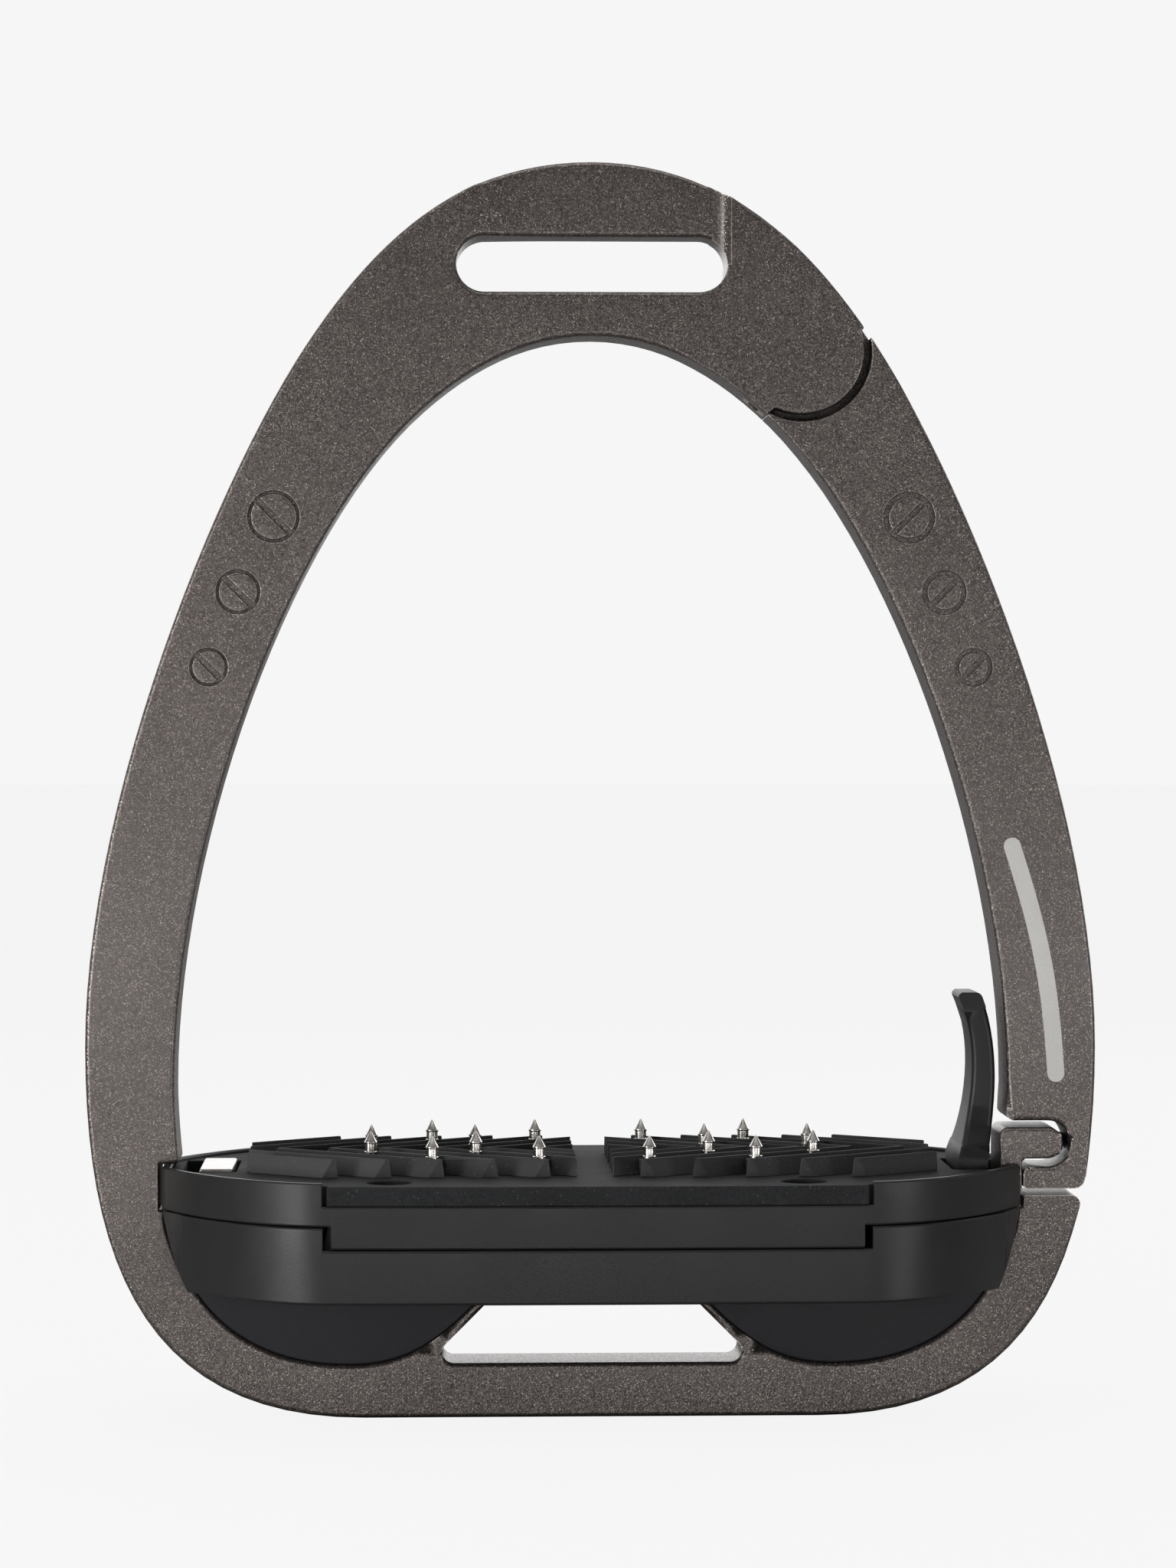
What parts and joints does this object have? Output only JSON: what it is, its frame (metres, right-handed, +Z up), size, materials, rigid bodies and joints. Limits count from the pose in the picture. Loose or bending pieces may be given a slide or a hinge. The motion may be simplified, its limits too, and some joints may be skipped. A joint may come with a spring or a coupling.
{
  "type": "safety stirrup iron",
  "caption": "Safety stirrup iron: a flat ring with a leather slot, a hinged outer arm that swings open, a wide tread with chevron ribs and steel studs, and a trip lever.",
  "frame": {"origin": "centre of the base bar's underside, on the floor when the iron stands upright", "axes": "+X along the tread towards the swinging arm, +Y from the face with the blind hinge ear to the face with the pin head, +Z up towards the leather bar"},
  "size_m": [0.1484, 0.0608, 0.1844],
  "materials": {
    "coated_alloy": "gunmetal powder coat with metallic fleck",
    "steel": "bright zinc",
    "bronze": "sintered",
    "shell_plastic": "satin black glass-filled nylon",
    "keel_plastic": "satin blue-black",
    "tray_plastic": "satin black",
    "plate_rubber": "fine textured black rubber",
    "rib_rubber": "black rubber",
    "stud_steel": "turned stainless steel",
    "dark_steel": "black oxide",
    "lever_plastic": "smooth black acetal",
    "insert_steel": "satin stainless"
  },
  "bodies": {
    "iron": {"frame": "coated_alloy", "latch_tongue": "coated_alloy", "hinge_pin": "steel", "hinge_washers": "steel", "footbed_shell": "shell_plastic", "keel_infill_left": "keel_plastic", "keel_infill_right": "keel_plastic", "tread_tray": "tray_plastic", "tread_plate": "plate_rubber", "grip_ribs_left": "rib_rubber", "grip_ribs_right": "rib_rubber", "grip_studs_left": "stud_steel", "grip_studs_right": "stud_steel", "tread_screws": "dark_steel", "platform_screws": "steel", "keel_screws": "steel", "tongue_screws": "steel", "lever_pin": "steel", "lever_spring": "steel", "pocket_insert": "insert_steel"},
    "arm": {"swing_arm": "coated_alloy", "hinge_bush": "bronze"},
    "lever": {"trip_lever": "lever_plastic"},
    "catch": {"detent_ball": "steel", "detent_spring": "steel"}
  },
  "joints": [
    {"name": "arm_swing", "type": "hinge", "parent": "iron", "child": "arm", "pos_m": [0.0308, 0, 0.1566], "axis": [0, -1, 0], "range_deg": [0, 48]},
    {"name": "lever_tilt", "type": "hinge", "parent": "iron", "child": "lever", "pos_m": [0.0563, 0, 0.0339], "axis": [0, 1, 0], "range_deg": [0, 5]},
    {"name": "catch_press", "type": "slide", "parent": "iron", "child": "catch", "axis": [-1, 0, 0], "range_m": [0, 0.001], "stiffness_N_per_m": 800}
  ],
  "couplings": [
    {"joint": "lever_tilt", "follows": "arm_swing", "ratio": 0.1}
  ]
}
